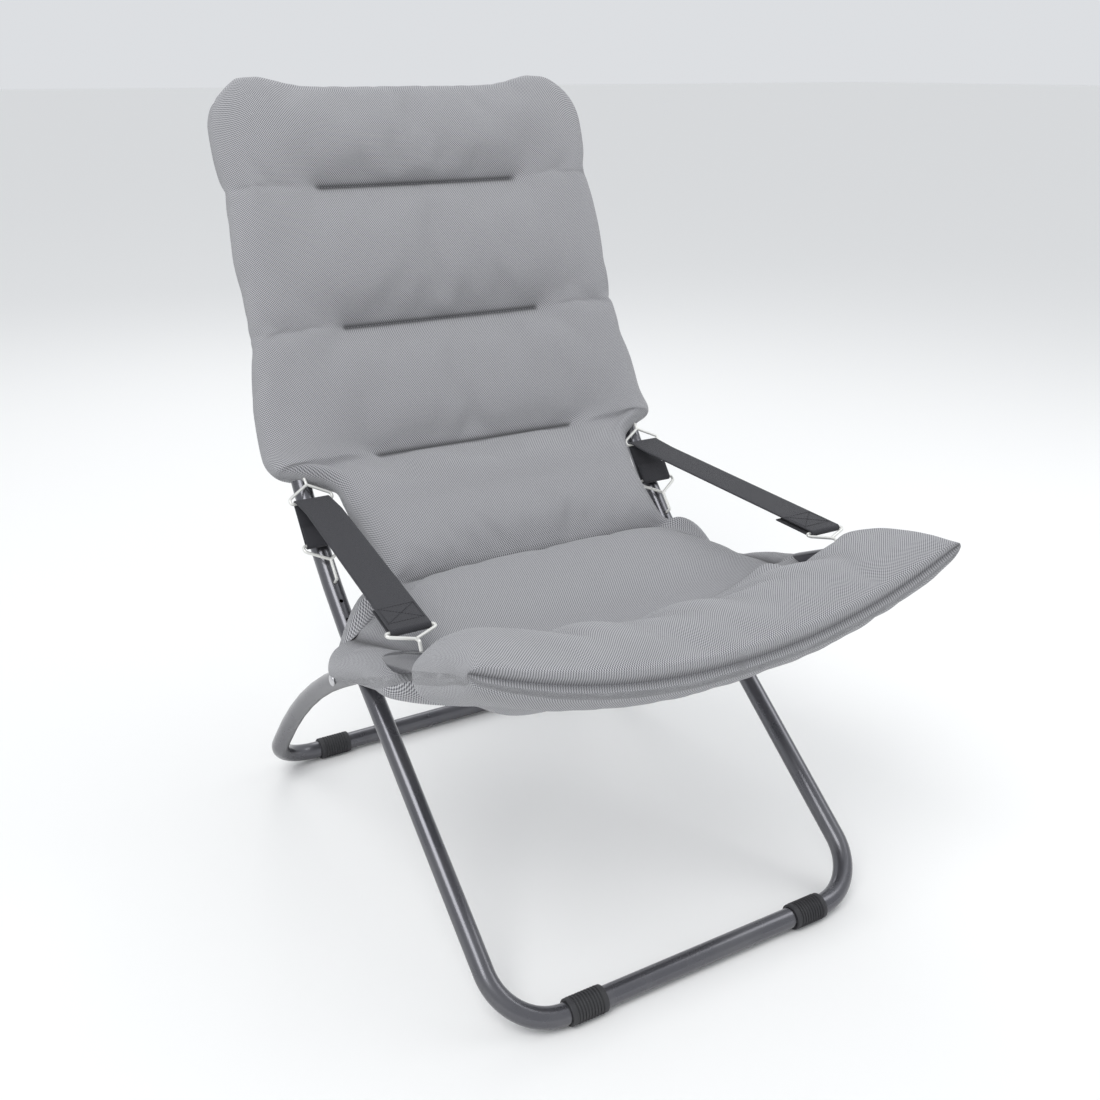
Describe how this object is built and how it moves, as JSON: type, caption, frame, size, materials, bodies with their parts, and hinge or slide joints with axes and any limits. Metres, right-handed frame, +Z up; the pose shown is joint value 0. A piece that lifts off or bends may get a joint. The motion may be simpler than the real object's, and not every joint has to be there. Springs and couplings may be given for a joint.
{
  "type": "padded folding deck chair",
  "caption": "Folding reclining chair with two crossed tube frames, a sewn padded textile seat and back, and webbing armrests hooked into adjuster holes.",
  "frame": {"origin": "on the ground, under the middle of the chair's width and depth, with the chair opened in its most reclined position", "axes": "+Z up; the chair faces -Y; X runs across it, and pieces named left are at -X"},
  "size_m": [0.6552, 0.8236, 0.9914],
  "materials": {
    "frame_paint": "satin metallic graphite paint",
    "bare_steel": "zinc plated",
    "wire": "pale coated wire",
    "textile": "woven coated outdoor textile over wadding",
    "webbing": "woven webbing",
    "foot_rubber": "ribbed moulding",
    "washer_nylon": "moulded nylon"
  },
  "bodies": {
    "back_frame": {"back_tube": "frame_paint", "front_leg_tube": "frame_paint", "back_spigot_left": "bare_steel", "back_spigot_right": "bare_steel", "front_foot_left": "foot_rubber", "front_foot_right": "foot_rubber", "pivot_rivet_left": "bare_steel", "pivot_rivet_right": "bare_steel", "pivot_washer_left": "washer_nylon", "pivot_washer_right": "washer_nylon", "back_cushion": "textile", "strap_guide_left": "wire", "strap_guide_right": "wire", "armrest_strap_left": "webbing", "armrest_strap_right": "webbing"},
    "seat_frame": {"seat_tube": "frame_paint", "rear_leg_tube": "frame_paint", "seat_spigot_left": "bare_steel", "seat_spigot_right": "bare_steel", "rear_foot_left": "foot_rubber", "rear_foot_right": "foot_rubber", "front_ring_left": "wire", "front_ring_right": "wire", "seat_cushion": "textile", "hip_cushion": "textile"},
    "left_hook": {"adjuster_hook_left": "wire"},
    "right_hook": {"adjuster_hook_right": "wire"}
  },
  "joints": [
    {"name": "fold", "type": "hinge", "parent": "back_frame", "child": "seat_frame", "pos_m": [0, -0.0101, 0.297], "axis": [1, 0, 0], "range_deg": [-85, 0], "deforming": ["hip_cushion", "armrest_strap_left", "armrest_strap_right"]},
    {"name": "left_hook_slide", "type": "slide", "parent": "back_frame", "child": "left_hook", "axis": [0, 0.7221, 0.6918], "range_m": [-0.054, 0], "deforming": ["armrest_strap_left"]},
    {"name": "right_hook_slide", "type": "slide", "parent": "back_frame", "child": "right_hook", "axis": [0, 0.7221, 0.6918], "range_m": [-0.054, 0], "deforming": ["armrest_strap_right"]}
  ]
}
